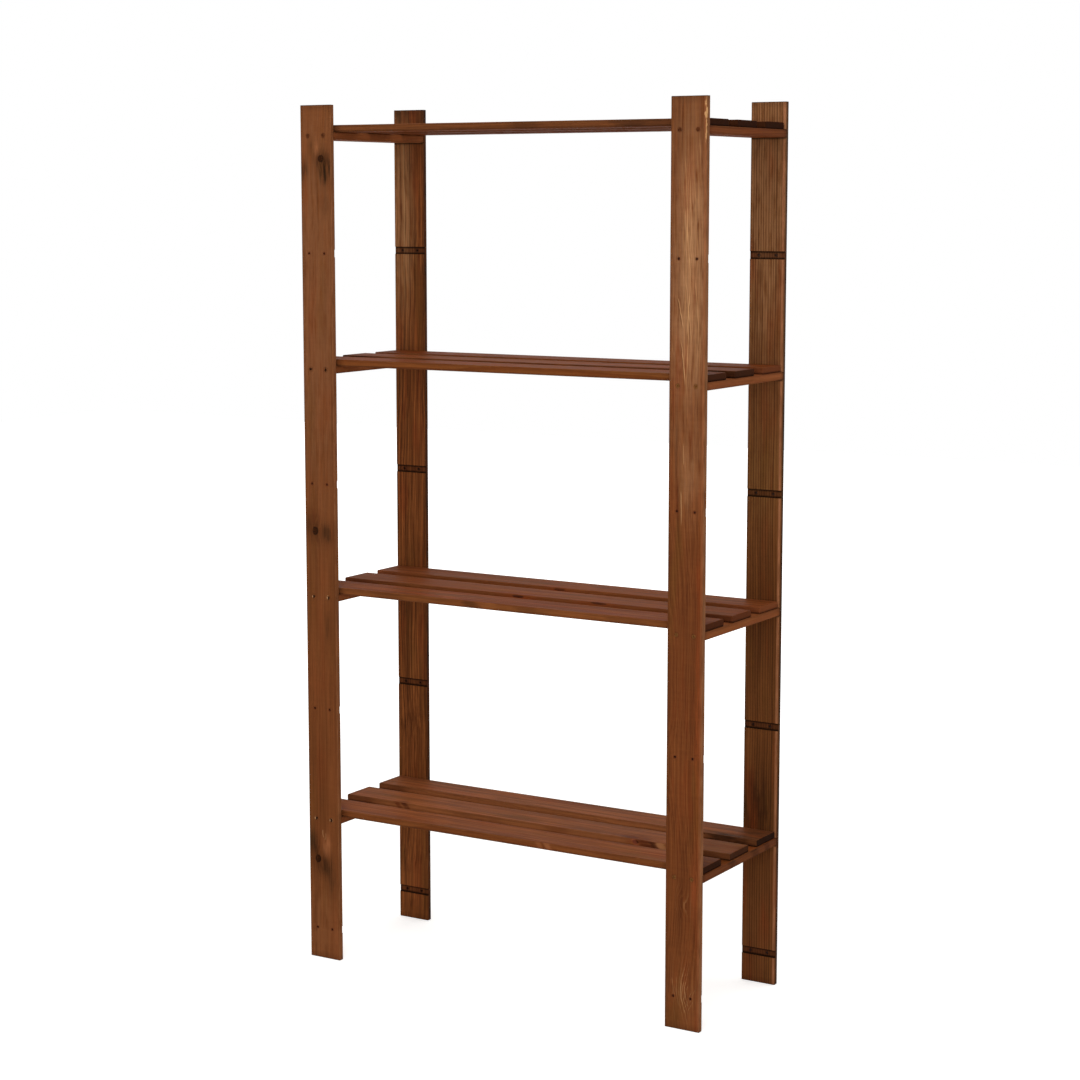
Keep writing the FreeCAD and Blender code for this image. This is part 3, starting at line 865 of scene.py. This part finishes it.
# how the logs of slats and battens differ, drawn from a fixed seed
shelfLogs = {
    "seed": 2024,
    "heart": ((-40, 14), (40, 46)),     # its least and its most, across and through
    "lean": 0.012,
    "lift": 3.0,
    "ring": (2.8, 4.4),
    "boardSeed": (30, 900),
}
firstPostSeed = 11


def dress(node, material):
    nodes[node].material_slots[0].material = material


def dressPosts(work):
    # a post's outer face is the one away from the unit's middle
    for seed, (node, look) in enumerate(postLogs.items(), firstPostSeed):
        outerSide = -1.0 if "front" in node else 1.0
        dress(node, pineMaterial(node, "post", look, seed, work, outerSide))


def dressShelves(logs):
    # every slat and batten comes from its own log: its heart, lean, lift of the stain and growth are drawn
    random = np.random.default_rng(logs["seed"])
    for node in sorted(nodes):
        kind = "slat" if "_slat_" in node else "batten"
        if "screws" in node or node in postLogs:
            continue
        look = dict(slatLook if kind == "slat" else battenLook)
        heart = random.uniform(*logs["heart"]).tolist()
        lean = random.uniform(-logs["lean"], logs["lean"], 2).tolist()
        own = dict(ownLooks.get(node, {}))
        lift = float(random.uniform(-logs["lift"], logs["lift"])) + own.pop("lift", 0)
        look.update(pith=heart, lean=lean, ring=float(random.uniform(*logs["ring"])))
        look.update({part: tuple(shade + lift for shade in look[part]) for part in ("dark", "light")})
        look.update(own)
        dress(node, pineMaterial(node, kind, look, int(random.integers(*logs["boardSeed"]))))


# bronzed steel of the screws and what covers those of the front posts, as screen colours and millimetres
screwLook = {
    "bright": (114, 67, 37),
    "dull": (60, 32, 16),
    "patch": ((2.6, 2.6, 2.6), (3.0, 8.0, 1.0), 3.0),       # size, shift and detail of the dull patches
    "scratch": ((0.5, 0.5, 0.5), (9.0, 2.0, 4.0), 2.0),     # and of the scratches
    "patchEdge": (0.35, 0.65),          # where a patch fades in, on bare steel and in filler or stain
    "coverEdge": (0.3, 0.6),
    "rough": 0.26,
    "patchRough": 0.2,
    "scratchRough": 0.12,
    "coverRough": 0.3,
    "scratchHeight": 0.01,
    "gloss": 0.03,
    "drive": (24, 11, 5),               # painted shade in the middle of a head, where its recess is, and where it fades in
    "driveEdge": (2.9, 1.7),
    "filler": ((82, 44, 19), (116, 75, 38)),
    "filledBelow": 1400.0,              # filler on the front right post's heads up to this height
    "stainedOver": ((58, 27, 11), (92, 50, 25)),    # stain over both front posts' heads above it
    # a painted highlight: the pale colour of a glint on a head
    "rubbed": (188, 140, 100),
    "glintBelow": 800.0,               # a painted glint on the front left post's heads up to this one
    "glintAside": 2.5,                    # how far outside the screw's line the painted glint is, and its half sizes
    "glintSize": (0.9, 2.2),
    "headsFrom": (140.0, 145.0),        # how far from the unit's middle the heads are
}


def dressScrews(look, work):
    # a thin bronze finish, rubbed and dulled in small patches, or filler or stain in two mixed shades; the
    # painted shade in the recess of a post's screw is found by the distance from the nearest screw line,
    # across and up, and a painted glint, a pale highlight, is a soft oval on its outer side
    material, start = newMaterial("screw_bronze")
    place = start.make("ShaderNodeTexCoord", out="Object")
    spot = place.make("ShaderNodeVectorMath", {"operation": "SCALE"}, {0: place, "Scale": 1000.0})
    patch = noiseAt(spot, *look["patch"])
    scratch = noiseAt(spot, *look["scratch"])
    split = spot.make("ShaderNodeSeparateXYZ", None, {0: spot})
    wide, deep, high = (split.other(axis) for axis in range(3))
    front = (deep * -1.0).step(*look["headsFrom"])
    lower = high.step(look["filledBelow"] + 1.0, look["filledBelow"])
    filled = front * wide.step(0.0, 1.0) * lower
    over = front * (1.0 - lower)
    outward = abs(wide) - work["postSide"]
    aside = abs(outward) - work["holeSide"]
    rise = (high - work["lowest"]).wrap(-work["pitch"] / 2, work["pitch"] / 2)
    # painted shade in the recess in the middle of each post screw's head
    middle = (aside * aside + rise * rise).root().step(*look["driveEdge"])
    middle = middle * abs(deep).step(*look["headsFrom"])
    # the painted glint: a pale soft oval that stands for a highlight on the head
    glintWide, glintHigh = look["glintSize"]
    outside = aside * outward.math("SIGN", outward) - look["glintAside"]
    rub = bell(outside / glintWide, rise / glintHigh) * front
    rub = rub * wide.step(0.0, -1.0) * high.step(look["glintBelow"] + 1.0, look["glintBelow"])
    bronze = mixed(patch.step(*look["patchEdge"]), linear(look["dull"]), linear(look["bright"]))
    bronze = mixed(middle, bronze, linear(look["drive"]))
    bronze = mixed(rub, bronze, linear(look["rubbed"]))
    shades = patch.step(*look["coverEdge"])
    filler = mixed(shades, *map(linear, look["filler"]))
    stained = mixed(shades, *map(linear, look["stainedOver"]))
    covered = filled.most(over)
    colour = mixed(over, mixed(filled, bronze, filler), stained)
    rough = patch * look["patchRough"] + scratch * look["scratchRough"]
    rough = rough + covered * look["coverRough"] + look["rough"]
    # the painted glint is not metal, so its pale colour shows as painted
    others = {"Metallic": 1.0 - covered.most(rub), "Specular IOR Level": look["gloss"]}
    surface(start, colour, rough, scratch * look["scratchHeight"], others)
    for node in nodes:
        if "screws" in node:
            dress(node, material)


# a pale floor that the camera sees as white apart from the object's shadow, and a light pale room
studio = {
    "floorReach": 9.0,
    "floorDrop": 0.0004,            # how far the floor is below the feet
    "floorShade": (226, 224, 220),
    "floorGlow": 0.6,               # the glow near the middle, and where it grows to 1
    "glowGrows": (1.0, 3.5),
    "roomFront": 0.30,              # the room's light in front and behind, and where it changes
    "roomBack": 0.9,
    "roomTurns": (-0.4, 0.5),
    "lamps": {
        "keyLamp": {"place": (2.4, -4.6, 1.9), "aim": (0.0, 0.0, 0.7), "size": 2.4, "power": 74.0},
        "fillLamp": {"place": (-3.6, -4.0, 1.3), "aim": (0.0, 0.0, 0.6), "size": 2.4, "power": 44.0},
        "topLamp": {"place": (0.2, -1.9, 4.2), "aim": (0.0, 0.0, 0.5), "size": 2.6, "power": 84.0},
    },
}


def buildFloor(look):
    # a flat square in the floor plane, on a grid of two corners each way; the camera also sees a white glow
    # on it that grows with the distance from the middle, so only the object's shadow shows
    reach = look["floorReach"]
    across, along = np.meshgrid((-reach, reach), (-reach, reach))
    corners = np.stack((across.ravel(), along.ravel(), np.full(across.size, -look["floorDrop"])), axis=1)
    mesh = bpy.data.meshes.new("floor")
    mesh.from_pydata(corners.tolist(), [], [(0, 1, 3, 2)])
    floor = bpy.data.objects.new("floor", mesh)
    bpy.context.scene.collection.objects.link(floor)
    material, start = newMaterial("floor_paper")
    place = start.make("ShaderNodeTexCoord", out="Object")
    apart = start.make("ShaderNodeVectorMath", {"operation": "LENGTH"}, {0: place}, out=1)
    level = apart.step(*look["glowGrows"]) * (1 - look["floorGlow"]) + look["floorGlow"]
    seen = start.make("ShaderNodeLightPath", out="Is Camera Ray")
    matt = start.make("ShaderNodeBsdfDiffuse", None, {"Color": linear(look["floorShade"])})
    white = start.make("ShaderNodeEmission", None, {"Color": (1, 1, 1, 1), "Strength": level * seen})
    both = start.make("ShaderNodeAddShader", None, {0: matt, 1: white})
    start.make("ShaderNodeOutputMaterial", None, {"Surface": both})
    mesh.materials.append(material)


def buildRoom(look):
    # white where the camera sees it, and behind the unit also in metal; as light, dim in front and
    # brighter behind
    world = bpy.data.worlds.new("paleRoom")
    bpy.context.scene.world = world
    world.use_nodes = True
    world.node_tree.nodes.clear()
    start = Wire(world.node_tree)
    towards = start.make("ShaderNodeTexCoord", out="Generated")
    split = start.make("ShaderNodeSeparateXYZ", None, {0: towards})
    back = split.other(1).step(*look["roomTurns"])
    camera = start.make("ShaderNodeLightPath", out="Is Camera Ray")
    mirror = camera.other("Is Glossy Ray").most(camera.other("Is Transmission Ray"))
    seen = camera.most(mirror * back)
    light = back * (look["roomBack"] - look["roomFront"]) + look["roomFront"]
    level = light + seen * (1 - light)
    sky = start.make("ShaderNodeBackground", None, {"Color": (1, 1, 1, 1), "Strength": level})
    start.make("ShaderNodeOutputWorld", None, {"Surface": sky})


def buildLamps(look):
    # square soft lamps, each turned so that its face looks at its aim
    for name, lamp in look["lamps"].items():
        light = bpy.data.lights.new(name, "AREA")
        light.size = lamp["size"]
        light.energy = lamp["power"]
        holder = bpy.data.objects.new(name, light)
        bpy.context.scene.collection.objects.link(holder)
        reach = np.array(lamp["aim"]) - np.array(lamp["place"])
        flat = math.hypot(reach[0], reach[1])
        holder.location = lamp["place"]
        holder.rotation_euler = (math.atan2(flat, -reach[2]), 0.0, math.atan2(-reach[0], reach[1]))


# the photograph's viewpoint in metres and degrees, and its lens in millimetres
viewpoint = {
    "place": (2.3311, -3.8275, 1.4760),
    "turn": 31.336,
    "dip": 7.716,
    "frameWide": 36.0,
    "lens": 79.95,
    "shift": -0.015,
}


def buildCamera(look):
    # it stands level: turned about the upright axis and dipped below the horizon
    camera = bpy.data.cameras.new("photoCamera")
    camera.lens = look["lens"]
    camera.sensor_width = look["frameWide"]
    camera.shift_y = look["shift"]
    holder = bpy.data.objects.new("photoCamera", camera)
    holder.location = look["place"]
    holder.rotation_euler = (math.radians(90 - look["dip"]), 0.0, math.radians(look["turn"]))
    bpy.context.scene.collection.objects.link(holder)
    bpy.context.scene.camera = holder


buildCamera(viewpoint)
buildFloor(studio)
buildRoom(studio)
buildLamps(studio)
print("studio: camera, floor, room and", len(studio["lamps"]), "lamps")
postWork = measurePosts(postStain)
dressPosts(postWork)
print("posts: stained pine on", len(postLogs))
dressShelves(shelfLogs)
print("shelves: stained pine on every slat and batten")
dressScrews(screwLook, postWork)
print("screws: bronze finish")

bpy.context.scene.view_settings.view_transform = "Standard"
